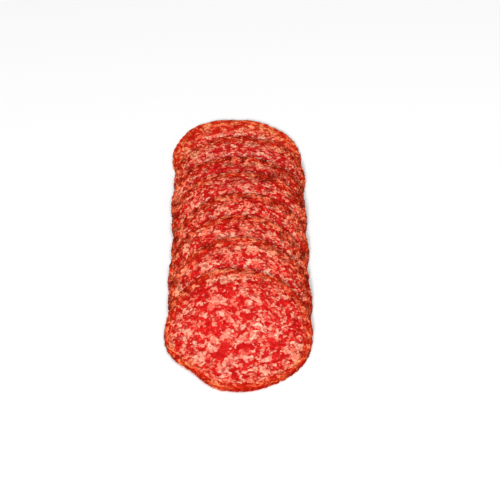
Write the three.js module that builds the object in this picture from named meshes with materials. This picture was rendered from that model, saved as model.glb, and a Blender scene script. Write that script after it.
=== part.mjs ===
// A cured sausage, sliced and laid out as one shingled row.
//
// Each slice is one solid: a thin round of meat, a little out of round, soft
// enough to follow the slices under it. The first slice lies flat on the
// table at the +Y end. Each next one is laid a step further towards -Y, on
// top of the slices before it, and droops over their front edges until its
// own front edge meets the table. Units are millimetres, +Z is up.
import * as THREE from "three";

// The sausage.
const WIDTH = 76; // across the row
const LENGTH = 79; // along the row: the knife crosses the sausage at a slight angle
const THICKNESS = 2.2; // of one slice, measured straight up
const AIR = 0.5; // left between a slice and the one under it

// How the slices are laid. Each entry moves a slice on from the one before.
const STEPS = [20.9, 23.6, 18.2, 22.5, 20.2, 19.0, 24.2]; // towards -Y
const SIDESTEPS = [1.6, -1.2, 1.4, 1.0, -1.3, 0.9, -0.8]; // towards +X
const TURN = THREE.MathUtils.degToRad(23); // each slice is turned this far in its own plane

// How far the outline leaves a true ellipse: waves round the rim, as shares
// of the radius.
const RIM_WAVES = [
  { count: 2, share: 0.008, phase: 0.4 },
  { count: 3, share: 0.009, phase: 2.1 },
  { count: 5, share: 0.005, phase: 4.4 },
  { count: 8, share: 0.003, phase: 1.3 },
];
const RIM_SPREAD = RIM_WAVES.reduce((sum, wave) => sum + wave.share, 0);

// The slices are soft: the first is drawn out at the back, and the last is pressed in at
// the front. Neither place lies under another slice.
const DENTS = [
  { slice: 0, angle: THREE.MathUtils.degToRad(132), share: 0.075, spread: 0.4 },
  { slice: 7, angle: THREE.MathUtils.degToRad(-131), share: -0.1, spread: 0.36 },
];

// The droop. A slice keeps clear of the widest outline that the one under it
// can have, and its bends are rounded.
const RISE = THICKNESS + AIR; // what one slice underneath lifts the next by
const REACH = 1 + RIM_SPREAD; // outline allowed for, as a share of the radius
const SIDE_EASE = 0.04; // keeps the droop at the two sides from being sheer
const BEND = 0.15; // half-length of a rounded bend, as a share of a step

const CELLS = 18; // mesh cells across one slice

const centres = STEPS.reduce(
  (laid, step, i) => {
    const last = laid[laid.length - 1];
    return [...laid, { x: last.x + SIDESTEPS[i], y: last.y - step }];
  },
  [{ x: 0, y: 0 }],
);

// Radius of slice `index` in the direction `angle`, as a share of the ellipse's.
function rimShare(angle, index) {
  const turned = angle - index * TURN;
  const waves = RIM_WAVES.reduce(
    (sum, wave) => sum + wave.share * Math.cos(wave.count * turned + wave.phase),
    0,
  );
  const dents = DENTS.filter((dent) => dent.slice === index).reduce(
    (sum, dent) => sum + dent.share * Math.exp(-(((angle - dent.angle) / dent.spread) ** 2)),
    0,
  );
  return 1 + waves + dents;
}

// A point of the square from -1 to 1 moved into the unit disc, and from there
// to its place on slice `index`, measured from the slice's centre.
function placeOnSlice(u, v, index) {
  const x = u * Math.sqrt(1 - (v * v) / 2);
  const y = v * Math.sqrt(1 - (u * u) / 2);
  const share = rimShare(Math.atan2(y, x), index);
  return { x: (x * share * WIDTH) / 2, y: (y * share * LENGTH) / 2 };
}

// 0 below 0, 1 above 1 and straight between, with both corners rounded.
function ramp(value) {
  const corner = (v) => {
    if (v < -BEND) return 0;
    return v > BEND ? v : (v + BEND) ** 2 / (4 * BEND);
  };
  return corner(value) - corner(value - 1);
}

// How far the slice `below` lifts what lies over the point (x, y): not at all
// a step in front of its front edge, and fully from that edge on.
function lift(x, y, below) {
  const { x: midX, y: midY } = centres[below];
  const across = (x - midX) / ((WIDTH / 2) * REACH);
  const halfChord = Math.sqrt(1 + SIDE_EASE - Math.min(across * across, 1));
  const frontEdge = midY - (LENGTH / 2) * REACH * halfChord;
  return RISE * ramp(1 + (y - frontEdge) / STEPS[below]);
}

// Height of the underside of slice `index` over the point (x, y).
function restingHeight(x, y, index) {
  return centres
    .slice(0, index)
    .reduce((height, _, below) => height + lift(x, y, below), 0);
}

function sliceGeometry(index) {
  const geometry = new THREE.BoxGeometry(2, 2, THICKNESS, CELLS, CELLS, 1);
  const points = geometry.getAttribute("position");
  for (let i = 0; i < points.count; i++) {
    const { x, y } = placeOnSlice(points.getX(i), points.getY(i), index);
    const underside = restingHeight(x + centres[index].x, y + centres[index].y, index);
    const z = underside + THICKNESS / 2 + points.getZ(i);
    points.setXYZ(i, x, y, z);
  }
  geometry.computeVertexNormals();
  return geometry;
}

function curedMeat() {
  return new THREE.MeshStandardMaterial({
    color: new THREE.Color().setRGB(0.88, 0.27, 0.21, THREE.SRGBColorSpace),
    roughness: 0.45,
    metalness: 0,
  });
}

const row = new THREE.Group();
centres.forEach(({ x, y }, index) => {
  const slice = new THREE.Mesh(sliceGeometry(index), curedMeat());
  slice.name = `slice_${index + 1}`;
  slice.position.set(x, y, 0);
  row.add(slice);
});

// The origin is the middle of the row, on the table.
const extent = new THREE.Box3().setFromObject(row);
const middle = extent.getCenter(new THREE.Vector3());
row.position.set(-middle.x, -middle.y, -extent.min.z);

const sausage = new THREE.Group();
sausage.add(row);
export default sausage;
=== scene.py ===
# The looks of a row of cured sausage slices.
#
# A slice is modelled once, as a flat round drawn out of a grid. Each copy takes
# the outline of its own CAD slice and its own place along the sausage, gets the
# relief that the knife leaves, and is then laid over the slices before it.
# Lengths are metres, except in the pattern of fat and lean, which counts in
# millimetres.
import functools
import math

import bpy
import numpy as np
from mathutils import Euler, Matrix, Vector


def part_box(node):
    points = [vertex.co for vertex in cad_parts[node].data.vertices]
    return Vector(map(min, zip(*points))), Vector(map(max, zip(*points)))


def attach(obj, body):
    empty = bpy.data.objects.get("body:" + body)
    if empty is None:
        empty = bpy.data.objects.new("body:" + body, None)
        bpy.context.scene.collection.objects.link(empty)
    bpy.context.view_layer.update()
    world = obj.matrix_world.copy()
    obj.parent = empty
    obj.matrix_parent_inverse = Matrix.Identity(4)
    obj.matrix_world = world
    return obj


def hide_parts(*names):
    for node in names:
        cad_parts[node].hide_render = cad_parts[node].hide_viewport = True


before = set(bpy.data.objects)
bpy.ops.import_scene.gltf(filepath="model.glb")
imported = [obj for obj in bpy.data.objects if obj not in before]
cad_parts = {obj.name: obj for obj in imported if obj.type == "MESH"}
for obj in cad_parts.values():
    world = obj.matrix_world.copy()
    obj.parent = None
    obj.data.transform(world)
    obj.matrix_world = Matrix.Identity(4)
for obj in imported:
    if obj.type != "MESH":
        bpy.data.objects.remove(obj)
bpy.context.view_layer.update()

MM = 0.001

# The slices, from the first one laid, which is flat on the table, to the last.
SLICES = sorted(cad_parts)
BOXES = [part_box(name) for name in SLICES]
CENTRES = [(low + high) / 2 for low, high in BOXES]
HALF_WIDTH = np.mean([high.x - low.x for low, high in BOXES]) / 2
HALF_LENGTH = np.mean([high.y - low.y for low, high in BOXES]) / 2
THICKNESS = BOXES[0][1].z - BOXES[0][0].z
AIR = 0.5 * MM  # between a slice and the one under it
TURN = math.radians(23)  # each slice is turned this far from the one before
UPRIGHT = 0.01  # how far the normal of a slice's side wall may tilt

# The flat round.
CELLS = 44  # across the grid, before it is subdivided
CELL_SPLITS = 2  # subdivision levels
GRID_BORDER = 0.999  # points further out than this, of 1, are the grid's border
EASING_ROUNDS = 400  # how often the grid is smoothed inside its circle
SHARP = math.radians(60)  # an edge that turns further than this is a corner
RIM_ROUNDING = 0.4 * MM  # how far the corners of the rim are taken off

# The droop, as in the CAD model: each slice underneath lifts the next by RISE.
RISE = THICKNESS + AIR
REACH = 1.025  # outline allowed for, as a share of the radius
SIDE_EASE = 0.04  # keeps the droop at the two sides from being sheer
BEND = 0.15  # half-length of a rounded bend, as a share of a step

# How far each slice has dried at its back edge and at its front edge, partly as painted shade and light.
# Slices that lie over others are darker and browner, as painted shade. The first slice and the front
# edge of the last lie on the white table, so they are brighter and oranger, as painted light from it.
# Only the last one shows its front edge. The drying reaches in from the rim.
DRY_AND_SHADED_BACK = [0.35, 0.9, 1.0, 0.95, 0.95, 0.9, 0.85, 0.8]
DRY_AND_SHADED_FRONT = DRY_AND_SHADED_BACK[:-1] + [0.25]
DRYING_AND_SHADE_DEPTH = 20 * MM
SHRINKING = 0.28  # how much finer the mince becomes where it is driest

# The mince, in millimetres across.
LUMP = 6.5  # a lump of back fat
GRAIN = 4.3  # a grain of fat or lean
CRUMB = 2.3  # a crumb, of which grains are made up
FLECK = 1.1  # a fleck
FATTIER = 14.0  # a place that has more fat than the next
LEAN_PATCH = 8.5  # a patch of lean in dried meat
CREVICED = 3.2  # a place where crevices open
VEINED = 2.6  # a loop of a vein
CRUMB_TEARS = 3.0, 1.1  # how far apart the tears in crumbs are, and how deep
GRAIN_TEARS = 5.0, 1.8  # the same for grains
CRUMB_PULL = 0.5  # how far the outlines of grains follow those of crumbs, as a share

# What makes a crumb fat. Its grain draws a number from 0 to 1, to which these are added.
# A name that ends in NOISE gives the two values of the noise between which a thing
# sets in.
CRUMB_STRAY = 1.05  # the range of what the crumb draws
FLECK_STRAY = 0.5  # the range of what its flecks draw
FATTIER_NOISE = 0.3, 0.7
GATHERED = -0.12, 0.16  # where fat is scarce and where it gathers
PATCH_NOISE = 0.42, 0.6
DRIED_PATCHES = 0.28, -0.26  # outside and inside the patches of lean in dried meat
LEAN_TO_FAT = 0.38, 0.66  # lean up to the first sum, and fat from the second
WHOLE_LUMPS = 0.95, 0.96  # a lump that draws more than this is all fat
LUMP_FLECKS = 0.04, 0.10  # but for the flecks that draw less than this

# What a grain, a crumb and a fleck add to the brightness, and then a whole lump.
TONE_SHARES = 0.4, 0.4, 0.2, 0.3

# Crevices and veins.
CREVICED_NOISE = 0.41, 0.56
CREVICE_WIDTH = 0.34  # from its middle to one side, as a share of a crumb
VEIN_WIDTH = 0.045  # the same, in values of the noise
VEIN_DEPTH = 0.9  # of the deepest vein, as a share of a crevice's
CRUMB_SHOULDER = 0.4  # how far in from its edge a crumb reaches its height
LOWEST_CRUMB = 0.3  # as a share of the highest

# The rind: the grain lies flatter towards the rim.
RIND = 6 * MM  # how far in the flattening starts
FLATTENING = 0.9  # how much narrower the grain is at the very rim, less one
RUST = 6 * MM  # how far in the meat has turned rusty
FIRST_RUST_AND_GLOW = 18 * MM  # the same on the first slice, which was cut next to the end; wider also to spread the painted orange glow of the rim tint over it

# The cut face.
RELIEF = 0.12 * MM  # how far crumbs stand up
DRY_RELIEF = 0.4 * MM  # the same where the meat has dried
UNDERSIDE = -0.6  # crumbs stay down where a normal points down more than this
FRAY = 2.4 * MM  # how unevenly the rim is torn
FRAY_LUMP = 3.6  # across a lump of the torn rim, in millimetres
FRAYED = 0.4, 1.0  # from where in the rind to where the fraying grows

# Uneven lying.
LIFT = 0.9 * MM  # how far the back edge stands up, where it does
LIFT_DEPTH = 7 * MM  # how far in from the rim that starts
EDGE_WAVES = (7, 2), (11, -3)  # waves round the rim, and radians they move on each slice
SAG = 0.06  # how much lower the whole row is where it has settled most
DIPS = 6.1 * MM, 7.3 * MM  # sets how far apart the dips are, in x and y
SLANT = 11 * MM, 9 * MM  # the same for the slanting waves between them

# The table and the light.
TABLE_SIZE = 6
TABLE_WHITE = (0.9, 0.9, 0.9, 1)
DAYLIGHT = 0.35  # strength of the light from all round
LAMPS = {  # where each hangs, how wide it is, and its power in watts
    "front": ((-0.5, -2.8, 1.55), 0.6, 96),
    "top": ((0.6, -0.4, 2.6), 1.2, 30),
}

# The camera, and the point on the table that it looks at.
CAMERA_HEIGHT = math.radians(41)  # above the horizon
CAMERA_DISTANCE = 0.732
CAMERA_TARGET = Vector((0.0067, -0.0068, 0))
LENS = 95.4  # millimetres, as is the sensor
SENSOR = 36


def deselect():
    bpy.ops.object.select_all(action="DESELECT")


def take_up(piece):
    """Makes a piece the only selected one and the active one."""
    deselect()
    piece.select_set(True)
    bpy.context.view_layer.objects.active = piece


def apply_modifier(piece, kind, **settings):
    take_up(piece)
    modifier = piece.modifiers.new(kind.lower(), kind)
    for name, value in settings.items():
        setattr(modifier, name, value)
    bpy.ops.object.modifier_apply(modifier=modifier.name)


def read_places(piece):
    """The piece's vertices as rows of x, y and z."""
    places = np.empty(len(piece.data.vertices) * 3, np.float32)
    piece.data.vertices.foreach_get("co", places)
    return places.reshape(-1, 3).astype(float)


def write_places(piece, places):
    piece.data.vertices.foreach_set("co", places.astype(np.float32).ravel())
    piece.data.update()


def store(piece, name, kind, values):
    """Keeps a value for each vertex of the piece, under a name that nodes read."""
    attribute = piece.data.attributes.new(name, kind, "POINT")
    field = "vector" if kind == "FLOAT_VECTOR" else "value"
    attribute.data.foreach_set(field, np.asarray(values, np.float32).ravel())


# ------------------------------------------------------------- node helpers


def set_inputs(node, values):
    for socket, value in values.items():
        node.inputs[socket].default_value = value


def add_node(tree, kind, inputs=(), **settings):
    """Adds a node. Its inputs, by name or place, are numbers or the outputs of other nodes."""
    node = tree.nodes.new(kind)
    for name, value in settings.items():
        setattr(node, name, value)
    for socket, value in dict(inputs).items():
        if isinstance(value, bpy.types.NodeSocket):
            tree.links.new(value, node.inputs[socket])
        else:
            node.inputs[socket].default_value = value
    return node


def maths(tree, operation, *values):
    return add_node(tree, "ShaderNodeMath", enumerate(values), operation=operation).outputs[0]


def total(tree, *values):
    return functools.reduce(functools.partial(maths, tree, "ADD"), values)


def either_way(tree, value, reach):
    """A number from 0 to 1, made to run from half of `reach` below 0 to half above."""
    return maths(tree, "MULTIPLY", maths(tree, "SUBTRACT", value, 0.5), reach)


def vectors(tree, operation, *values, **inputs):
    named = dict(enumerate(values)) | inputs
    return add_node(tree, "ShaderNodeVectorMath", named, operation=operation).outputs[0]


def step_up(tree, value, low, high, to_low=0.0, to_high=1.0):
    """A smooth step from to_low, where value is low, to to_high, where it is high."""
    inputs = {"Value": value, "From Min": low, "From Max": high, "To Min": to_low, "To Max": to_high}
    node = add_node(tree, "ShaderNodeMapRange", inputs, interpolation_type="SMOOTHSTEP")
    return node.outputs[0]


def blend(tree, factor, first, second, kind="MIX"):
    """Two colours mixed. A mix node has its colours at inputs 6 and 7, and at output 2."""
    inputs = {0: factor, 6: first, 7: second}
    return add_node(tree, "ShaderNodeMix", inputs, data_type="RGBA", blend_type=kind).outputs[2]


def stained(tree, factor, ground, stain):
    """A colour darkened by a stain, as far as `factor` says."""
    return blend(tree, factor, ground, blend(tree, 1.0, ground, stain, "MULTIPLY"))


def noise(tree, place, size, detail=2.0, roughness=0.5, output=0):
    """Noise whose lumps are about `size` across."""
    inputs = {"Vector": place, "Scale": 1 / size, "Detail": detail, "Roughness": roughness}
    return add_node(tree, "ShaderNodeTexNoise", inputs).outputs[output]


def cells(tree, place, size, feature="F1"):
    """Cells about `size` across."""
    inputs = {"Vector": place, "Scale": 1 / size}
    return add_node(tree, "ShaderNodeTexVoronoi", inputs, feature=feature)


def draws(tree, cell):
    """Three numbers from 0 to 1 that each cell draws."""
    return add_node(tree, "ShaderNodeSeparateXYZ", {0: cell.outputs["Color"]}).outputs


def shifted(tree, place, size, reach, detail=2.0):
    """The place moved up to about `reach` by noise, so that what is drawn there has uneven edges."""
    push = vectors(tree, "SUBTRACT", noise(tree, place, size, detail, output=1), (0.5, 0.5, 0.5))
    push = vectors(tree, "SCALE", push, Scale=2 * reach)
    return vectors(tree, "ADD", place, push)


# ------------------------------------------------------------ fat and lean


def new_group(name, tree_kind, inputs, outputs):
    """An empty node group, its sockets given as names with their types."""
    group = bpy.data.node_groups.new(name, tree_kind)
    for way, sockets in {"INPUT": inputs, "OUTPUT": outputs}.items():
        for socket, kind in sockets.items():
            group.interface.new_socket(socket, in_out=way, socket_type="NodeSocket" + kind)
    return group, group.nodes.new("NodeGroupInput"), group.nodes.new("NodeGroupOutput")


def mince(tree_kind):
    """The pattern of fat and lean through the whole sausage, as a node group.

    Shader and geometry nodes draw it alike, so the relief fits the colours.
    """
    group, entry, leave = new_group(
        "mince " + tree_kind,
        tree_kind,
        {"Place": "Vector", "Dryness_and_shade": "Float"},
        {"Fat": "Float", "Tone": "Float", "Shade": "Float", "Crevice": "Float", "Swell": "Float"},
    )
    place = entry.outputs["Place"]

    # Crumbs with torn edges, of which everything is made up.
    loose = shifted(group, place, *CRUMB_TEARS, detail=4.0)
    crumb = cells(group, loose, CRUMB)
    crumb_edge = cells(group, loose, CRUMB, "DISTANCE_TO_EDGE").outputs["Distance"]
    crumb_draws = draws(group, crumb)

    # Grains, whose outlines are drawn to those of the crumbs.
    pull = vectors(group, "SUBTRACT", crumb.outputs["Position"], loose)
    pulled = vectors(group, "ADD", place, vectors(group, "SCALE", pull, Scale=CRUMB_PULL))
    torn = shifted(group, pulled, *GRAIN_TEARS, detail=3.0)
    grain_draws = draws(group, cells(group, torn, GRAIN))

    # Flecks, the finest pieces.
    fleck_draws = draws(group, cells(group, loose, FLECK))

    # A crumb is fat or lean mostly as its grain is, with stray flecks of the other.
    gather = step_up(group, noise(group, place, FATTIER, detail=1.0), *FATTIER_NOISE, *GATHERED)
    patch = step_up(group, noise(group, place, LEAN_PATCH), *PATCH_NOISE, *DRIED_PATCHES)
    score = total(
        group,
        grain_draws[0],
        gather,
        either_way(group, crumb_draws[0], CRUMB_STRAY),
        either_way(group, fleck_draws[0], FLECK_STRAY),
        maths(group, "MULTIPLY", entry.outputs["Dryness_and_shade"], patch),
    )
    fat = step_up(group, score, *LEAN_TO_FAT)

    # A few whole lumps of back fat, paler than the rest.
    lump_draws = draws(group, cells(group, torn, LUMP))
    lump = step_up(group, lump_draws[0], *WHOLE_LUMPS)
    lump = maths(group, "MULTIPLY", lump, step_up(group, fleck_draws[1], *LUMP_FLECKS))
    fat = maths(group, "MAXIMUM", fat, lump)

    # Each grain, and each crumb and fleck in it, has its own brightness.
    tones = zip([grain_draws[1], crumb_draws[2], fleck_draws[2], lump], TONE_SHARES)
    tone = total(group, *(maths(group, "MULTIPLY", part, share) for part, share in tones))

    # Crevices open here and there between the crumbs, and fine veins run through
    # the grains, deeper in some than in others.
    open_here = step_up(group, noise(group, place, CREVICED, detail=3.0, roughness=0.6), *CREVICED_NOISE)
    gap = step_up(group, crumb_edge, 0.0, CREVICE_WIDTH, 1.0, 0.0)
    crevice = maths(group, "MULTIPLY", gap, open_here)
    from_vein = maths(group, "ABSOLUTE", maths(group, "SUBTRACT", noise(group, loose, VEINED), 0.5))
    vein = step_up(group, from_vein, 0.0, VEIN_WIDTH, VEIN_DEPTH, 0.0)
    vein = maths(group, "MULTIPLY", vein, grain_draws[2])
    crevice = maths(group, "MAXIMUM", crevice, vein)

    # Between the crevices the crumbs swell, each to its own height.
    height = maths(group, "MULTIPLY", crumb_draws[2], 1 - LOWEST_CRUMB)
    height = maths(group, "ADD", height, LOWEST_CRUMB)
    swell = maths(group, "MULTIPLY", step_up(group, crumb_edge, 0.0, CRUMB_SHOULDER), height)
    swell = maths(group, "SUBTRACT", swell, crevice)

    found = {"Fat": fat, "Tone": tone, "Shade": crumb_draws[1], "Crevice": crevice, "Swell": swell}
    for name, value in found.items():
        group.links.new(value, leave.inputs[name])
    return group


def colour(red, green, blue):
    """A screen colour, each part from 0 to 255, as the shader wants it."""
    parts = [part / 255 for part in (red, green, blue)]
    return [p / 12.92 if p <= 0.04045 else ((p + 0.055) / 1.055) ** 2.4 for p in parts] + [1.0]


# Lean, fat and the crevices between them: darkest and palest, fresh and dried. The dried colours are
# darker partly as painted shade. The crevice colours are painted shade in the gaps between crumbs, and
# also the colour of the veins.
FRESH_LEAN = colour(176, 0, 12), colour(240, 50, 44)
DRIED_AND_SHADED_LEAN = colour(130, 0, 0), colour(236, 16, 8)
FRESH_FAT = colour(244, 106, 86), colour(255, 194, 168)
DRIED_AND_SHADED_FAT = colour(232, 78, 48), colour(254, 160, 122)
FRESH_VEIN_AND_CREVICE_SHADE = colour(184, 14, 12)
DRIED_VEIN_AND_CREVICE_SHADE = colour(112, 12, 0)
FRESH_VEIN_AND_CREVICE_SHADE_SHOWS = 0.85  # how much of its colour a crevice takes
DRIED_VEIN_AND_CREVICE_SHADE_SHOWS = 0.9

# Mottling and stains, with painted shade and a painted glow, and where they are.
MOTTLE = 3.0  # millimetres across a darker place in the lean
MOTTLE_NOISE = 0.32, 0.68
TONES = 0.15, 0.85  # brightnesses of fat that get its darkest and its palest colour
DRIED_EDGE = 0.15, 0.8  # narrows the change from lean to fat in dried meat
RIM_LEAN = colour(204, 62, 26)  # the lean next to the casing
RUSTINESS = 0.65  # how far that lean goes over to its colour
RIM_TINT_AND_GLOW = colour(252, 208, 140)  # over fat and lean alike: partly the rim's own colour, partly a painted orange glow, as of light through the thin rim from the white table
TINT_AND_GLOW_FADES = 0.4, 1.0  # the dryness from which that fades, and to which
DRIED_TINT_AND_GLOW = 0.55  # how much of it is left then
BROWNING_AND_SHADE = colour(170, 112, 84)  # over dried meat, partly where it has turned brown and partly painted shade
BROWNING_AND_SHADE_PATCH = 7.0  # millimetres across a brown place, partly painted shade
BROWNING_AND_SHADE_NOISE = 0.52, 0.68
BROWNING_AND_SHADE_AT_RIM = 0.09  # how much more readily the rim takes the brown and the painted shade
CASING = colour(196, 128, 92)  # over the very rim, where the casing came off
CASING_NOISE = 0.3, 0.6
CASING_EDGE = 0.88, 0.99  # from where in the rind to where that grows

# Wet spots, and the light that the meat lets in.
WET_SPOT = 1.2  # millimetres across
WET_NOISE = 0.58, 0.66
WETNESS = 0.6
MEAT_FINISH = {
    "Roughness": 0.28,
    "Specular IOR Level": 0.02,
    "Coat Roughness": 0.15,
    "Subsurface Weight": 0.4,
    "Subsurface Radius": (1.0, 0.25, 0.15),
    "Subsurface Scale": 0.6 * MM,
}


def cured_meat():
    material = bpy.data.materials.new("cured_meat")
    material.use_nodes = True
    tree = material.node_tree
    shader = tree.nodes["Principled BSDF"]

    def stored(name, output="Fac"):
        return add_node(tree, "ShaderNodeAttribute", attribute_name=name).outputs[output]

    place = stored("sausage_place", "Vector")
    dryness_and_shade = stored("dryness_and_shade")
    rind = stored("rind")
    rust = stored("rust")
    inputs = {"Place": place, "Dryness_and_shade": dryness_and_shade}
    meat = add_node(tree, "ShaderNodeGroup", inputs, node_tree=mince("ShaderNodeTree")).outputs

    # Lean, rusty towards the rim, then fat, then the crevices, fresh and dried. The dried colours partly
    # paint shade, and the crevices get painted shade.
    mottle = noise(tree, place, MOTTLE, detail=3.0, roughness=0.6)
    paleness = maths(tree, "ADD", step_up(tree, mottle, *MOTTLE_NOISE), meat["Shade"])
    paleness = maths(tree, "MULTIPLY", paleness, 0.5)
    tone = step_up(tree, meat["Tone"], *TONES)
    rusty = maths(tree, "MULTIPLY", rust, RUSTINESS)
    fresh_lean = blend(tree, rusty, blend(tree, paleness, *FRESH_LEAN), RIM_LEAN)
    dried_and_shaded_lean = blend(tree, rusty, blend(tree, paleness, *DRIED_AND_SHADED_LEAN), RIM_LEAN)
    crisp = step_up(tree, meat["Fat"], *DRIED_EDGE)
    fresh = blend(tree, meat["Fat"], fresh_lean, blend(tree, tone, *FRESH_FAT))
    dried_and_shaded = blend(tree, crisp, dried_and_shaded_lean, blend(tree, tone, *DRIED_AND_SHADED_FAT))
    # The crevice colour: painted shade in the gaps between crumbs, and the darker colour of the veins.
    fresh_vein_and_shade = maths(tree, "MULTIPLY", meat["Crevice"], FRESH_VEIN_AND_CREVICE_SHADE_SHOWS)
    dried_vein_and_shade = maths(tree, "MULTIPLY", meat["Crevice"], DRIED_VEIN_AND_CREVICE_SHADE_SHOWS)
    fresh = blend(tree, fresh_vein_and_shade, fresh, FRESH_VEIN_AND_CREVICE_SHADE)
    dried_and_shaded = blend(tree, dried_vein_and_shade, dried_and_shaded, DRIED_VEIN_AND_CREVICE_SHADE)
    flesh = blend(tree, dryness_and_shade, fresh, dried_and_shaded)

    # Brown places in dried meat, partly painted shade; the rusty rim, with a painted orange glow where
    # the meat is fresh; and what the casing left on it.
    brown_and_shade = noise(tree, place, BROWNING_AND_SHADE_PATCH, detail=3.0, roughness=0.6)
    brown_and_shade = maths(tree, "ADD", brown_and_shade, maths(tree, "MULTIPLY", rind, BROWNING_AND_SHADE_AT_RIM))
    brown_and_shade = maths(tree, "MULTIPLY", step_up(tree, brown_and_shade, *BROWNING_AND_SHADE_NOISE), dryness_and_shade)
    flesh = stained(tree, brown_and_shade, flesh, BROWNING_AND_SHADE)
    # The rim tint: the rim's own colour, and a painted orange glow that is strongest where the meat is
    # fresh.
    tint_and_glow = maths(tree, "MULTIPLY", rust, step_up(tree, dryness_and_shade, *TINT_AND_GLOW_FADES, 1.0, DRIED_TINT_AND_GLOW))
    flesh = stained(tree, tint_and_glow, flesh, RIM_TINT_AND_GLOW)
    left_on = step_up(tree, mottle, *CASING_NOISE)
    left_on = maths(tree, "MULTIPLY", left_on, step_up(tree, rind, *CASING_EDGE))
    flesh = stained(tree, left_on, flesh, CASING)
    tree.links.new(flesh, shader.inputs["Base Color"])

    wet = step_up(tree, noise(tree, place, WET_SPOT), *WET_NOISE)
    tree.links.new(maths(tree, "MULTIPLY", wet, WETNESS), shader.inputs["Coat Weight"])
    set_inputs(shader, MEAT_FINISH)
    return material


def cut_relief():
    """Geometry nodes that raise the crumbs on top of a slice and at its rim, and fray the rim.

    The underside stays flat.
    """
    group, entry, leave = new_group(
        "cut relief", "GeometryNodeTree", {"Slice": "Geometry"}, {"Slice": "Geometry"}
    )

    def stored(name, kind="FLOAT"):
        node = add_node(group, "GeometryNodeInputNamedAttribute", {"Name": name}, data_type=kind)
        return next(output for output in node.outputs if output.name == "Attribute" and output.enabled)

    place = stored("sausage_place", "FLOAT_VECTOR")
    dryness_and_shade = stored("dryness_and_shade")
    inputs = {"Place": place, "Dryness_and_shade": dryness_and_shade}
    meat = add_node(group, "GeometryNodeGroup", inputs, node_tree=mince("GeometryNodeTree")).outputs

    # Crumbs stand up along the normal.
    height = step_up(group, dryness_and_shade, 0.0, 1.0, RELIEF, DRY_RELIEF)
    height = maths(group, "MULTIPLY", meat["Swell"], height)
    normal = group.nodes.new("GeometryNodeInputNormal").outputs[0]
    upward = add_node(group, "ShaderNodeSeparateXYZ", {0: normal}).outputs[2]
    height = maths(group, "MULTIPLY", height, step_up(group, upward, UNDERSIDE, 0.0))
    push = vectors(group, "SCALE", normal, Scale=height)

    # The rim frays outwards and inwards.
    position = group.nodes.new("GeometryNodeInputPosition").outputs[0]
    outward = vectors(group, "NORMALIZE", vectors(group, "MULTIPLY", position, (1, 1, 0)))
    reach = step_up(group, stored("rind"), *FRAYED, 0.0, FRAY)
    fray = either_way(group, noise(group, place, FRAY_LUMP, detail=4.0, roughness=0.7), reach)
    push = vectors(group, "ADD", push, vectors(group, "SCALE", outward, Scale=fray))
    moved = add_node(group, "GeometryNodeSetPosition", {"Geometry": entry.outputs[0], "Offset": push})
    group.links.new(moved.outputs[0], leave.inputs[0])
    return group


# ------------------------------------------------------------- the slices


def flat_round():
    """A flat slice as wide as the CAD slices, THICKNESS deep, standing on the table."""
    deselect()
    bpy.ops.mesh.primitive_grid_add(
        x_subdivisions=CELLS, y_subdivisions=CELLS, size=2, location=(0, 0, THICKNESS)
    )
    blank = bpy.context.object
    bpy.ops.object.transform_apply(location=True)

    # The border of the grid is drawn out to a circle, and the rest eases after it.
    border = np.abs(read_places(blank)[:, :2]).max(1) > GRID_BORDER
    bpy.ops.object.mode_set(mode="EDIT")
    bpy.ops.mesh.select_mode(type="VERT")
    bpy.ops.mesh.select_all(action="DESELECT")
    bpy.ops.object.mode_set(mode="OBJECT")
    blank.data.vertices.foreach_set("select", border)
    bpy.ops.object.mode_set(mode="EDIT")
    bpy.ops.transform.tosphere(value=1)
    bpy.ops.mesh.select_all(action="INVERT")
    bpy.ops.mesh.vertices_smooth(factor=0.5, repeat=EASING_ROUNDS)
    bpy.ops.object.mode_set(mode="OBJECT")
    places = read_places(blank)
    places[:, :2] /= np.hypot(places[border, 0], places[border, 1]).mean()
    places[:, :2] *= HALF_WIDTH
    write_places(blank, places)

    # Its thickness, and the corners of the rim.
    bpy.ops.object.mode_set(mode="EDIT")
    bpy.ops.mesh.select_all(action="SELECT")
    bpy.ops.mesh.extrude_region_move(TRANSFORM_OT_translate={"value": (0, 0, -THICKNESS)})
    bpy.ops.mesh.select_all(action="SELECT")
    bpy.ops.mesh.normals_make_consistent(inside=False)
    bpy.ops.mesh.select_all(action="DESELECT")
    bpy.ops.mesh.select_mode(type="EDGE")
    bpy.ops.mesh.edges_select_sharp(sharpness=SHARP)
    bpy.ops.mesh.bevel(offset=RIM_ROUNDING, segments=2)
    bpy.ops.object.mode_set(mode="OBJECT")
    apply_modifier(blank, "SUBSURF", levels=CELL_SPLITS, render_levels=CELL_SPLITS)
    bpy.ops.object.shade_smooth()
    return blank


def rim_radii(index, angles):
    """Radius of the CAD slice's outline in each direction."""
    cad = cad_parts[SLICES[index]].data
    wall = {
        corner
        for face in cad.polygons
        if abs(face.normal.z) < UPRIGHT
        for corner in face.vertices
    }
    rim = np.array([cad.vertices[corner].co - CENTRES[index] for corner in wall])
    turns = np.arctan2(rim[:, 1], rim[:, 0])
    known_turns, known_radii = zip(*sorted(zip(turns, np.hypot(rim[:, 0], rim[:, 1]))))
    return np.interp(angles, known_turns, known_radii, period=math.tau)


def near_rim(inset, reach):
    """1 at the rim, and evenly less down to 0 at `reach` in from it."""
    return np.clip(1 - inset / reach, 0, 1)


def ramp(value):
    """0 below 0, 1 above 1 and straight between, with both corners rounded."""

    def corner(v):
        return np.where(v < -BEND, 0, np.where(v > BEND, v, (v + BEND) ** 2 / (4 * BEND)))

    return corner(value) - corner(value - 1)


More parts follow.
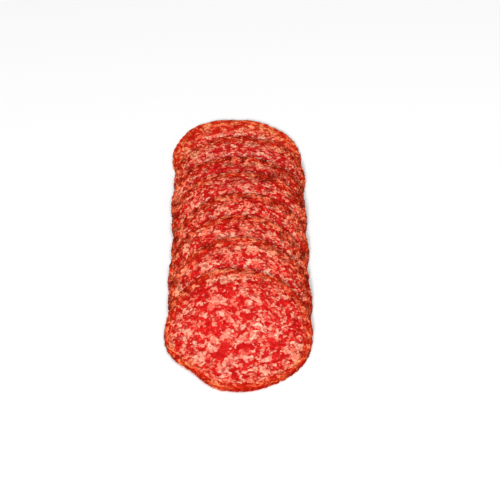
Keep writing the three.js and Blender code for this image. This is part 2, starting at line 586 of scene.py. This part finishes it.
def resting_height(x, y, index):
    """Height of the underside of a slice over each point, from the slices that it lies on."""
    height = np.zeros_like(x)
    for below in range(index):
        middle = CENTRES[below]
        step = middle.y - CENTRES[below + 1].y
        across = (x - middle.x) / (HALF_WIDTH * REACH)
        half_chord = np.sqrt(1 + SIDE_EASE - np.minimum(across**2, 1))
        front = middle.y - HALF_LENGTH * REACH * half_chord
        height += RISE * ramp(1 + (y - front) / step)
    return height


def edge_lift(angles, inset, index):
    """How far the back edge stands up: in waves, which differ from slice to slice."""
    back = near_rim(inset, LIFT_DEPTH) ** 2 * np.clip(np.sin(angles), 0, 1)
    waves = sum(np.sin(count * angles + move * index) for count, move in EDGE_WAVES)
    return LIFT * back * (0.5 + waves / 4)


def settled(x, y):
    """How high the row stands over each point, as a share: it has settled unevenly."""
    waves = np.sin(x / DIPS[0] + 1) * np.sin(y / DIPS[1]) + np.sin(x / SLANT[0] - y / SLANT[1])
    return 1 - SAG * (0.5 + waves / 4)


def lay_slice(blank, relief, index):
    """A copy of the flat round, given its outline, its grain and its relief, laid in its place."""
    piece = blank.copy()
    piece.data = blank.data.copy()
    piece.name = piece.data.name = f"cut_{SLICES[index]}"
    bpy.context.collection.objects.link(piece)

    places = read_places(piece)
    angles = np.arctan2(places[:, 1], places[:, 0])
    radii = rim_radii(index, angles)
    along = np.hypot(places[:, 0], places[:, 1]) / HALF_WIDTH * radii
    inset = radii - along
    places[:, 0] = along * np.cos(angles)
    places[:, 1] = along * np.sin(angles)

    # Where each vertex lies in the sausage, in millimetres. The rind is drawn out to
    # flatten its grain, and drying makes the mince finer.
    rind = near_rim(inset, RIND)
    # The dryness at the rim, from front to back. It also paints shade where a slice lies over others,
    # and light where it lies on the table.
    rim_dryness_and_shade = np.interp(np.sin(angles), [-1, 1], [DRY_AND_SHADED_FRONT[index], DRY_AND_SHADED_BACK[index]])
    drying_and_shade = rim_dryness_and_shade * near_rim(inset, DRYING_AND_SHADE_DEPTH)
    drawn_out = (along + FLATTENING * RIND * rind**2 / 2) * (1 + SHRINKING * drying_and_shade)
    turned = angles - index * TURN
    depth = places[:, 2] - index * THICKNESS
    in_sausage = np.stack([drawn_out * np.cos(turned), drawn_out * np.sin(turned), depth], 1)
    store(piece, "sausage_place", "FLOAT_VECTOR", in_sausage / MM)
    store(piece, "rind", "FLOAT", rind)
    store(piece, "rust", "FLOAT", near_rim(inset, RUST if index else FIRST_RUST_AND_GLOW))
    store(piece, "dryness_and_shade", "FLOAT", drying_and_shade)
    write_places(piece, places)
    apply_modifier(piece, "NODES", node_group=relief)

    # Laid over the slices before it, with nothing below the table.
    places = read_places(piece)
    places[:, :2] += CENTRES[index][:2]
    places[:, 2] += resting_height(places[:, 0], places[:, 1], index)
    places[:, 2] += edge_lift(angles, inset, index)
    places[:, 2] *= settled(places[:, 0], places[:, 1])
    places[:, 2] = np.maximum(places[:, 2], 0)
    write_places(piece, places)
    return piece


def make_slices():
    blank = flat_round()
    relief = cut_relief()
    meat = cured_meat()
    for index, name in enumerate(SLICES):
        piece = lay_slice(blank, relief, index)
        piece.data.materials.append(meat)
        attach(piece, "root")
        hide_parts(name)
    bpy.data.objects.remove(blank)


# ---------------------------------------------------- table, light and camera


def table():
    bpy.ops.mesh.primitive_plane_add(size=TABLE_SIZE)
    top = bpy.context.object
    top.name = "table"
    material = bpy.data.materials.new("white_table")
    material.use_nodes = True
    shader = material.node_tree.nodes["Principled BSDF"]
    set_inputs(shader, {"Base Color": TABLE_WHITE, "Roughness": 0.7, "Specular IOR Level": 0.2})
    top.data.materials.append(material)


def soft_light(name, place, size, power):
    """A square lamp that faces the middle of the table."""
    lamp = bpy.data.lights.new(name, "AREA")
    lamp.size = size
    lamp.energy = power
    holder = bpy.data.objects.new(name, lamp)
    holder.location = place
    holder.rotation_euler = Vector(place).to_track_quat("Z", "Y").to_euler()
    bpy.context.collection.objects.link(holder)


def studio():
    scene = bpy.context.scene
    scene.view_settings.view_transform = "Standard"
    world = bpy.data.worlds.new("studio")
    world.use_nodes = True
    background = world.node_tree.nodes["Background"]
    set_inputs(background, {"Color": (1, 1, 1, 1), "Strength": DAYLIGHT})
    scene.world = world
    for name, (place, size, power) in LAMPS.items():
        soft_light(name, place, size, power)


def camera():
    data = bpy.data.cameras.new("camera")
    data.lens = LENS
    data.sensor_width = SENSOR
    holder = bpy.data.objects.new("camera", data)
    back = Vector((0, -math.cos(CAMERA_HEIGHT), math.sin(CAMERA_HEIGHT)))
    holder.location = CAMERA_TARGET + CAMERA_DISTANCE * back
    holder.rotation_euler = Euler((math.pi / 2 - CAMERA_HEIGHT, 0, 0))
    bpy.context.collection.objects.link(holder)
    bpy.context.scene.camera = holder


camera()
studio()
table()
make_slices()
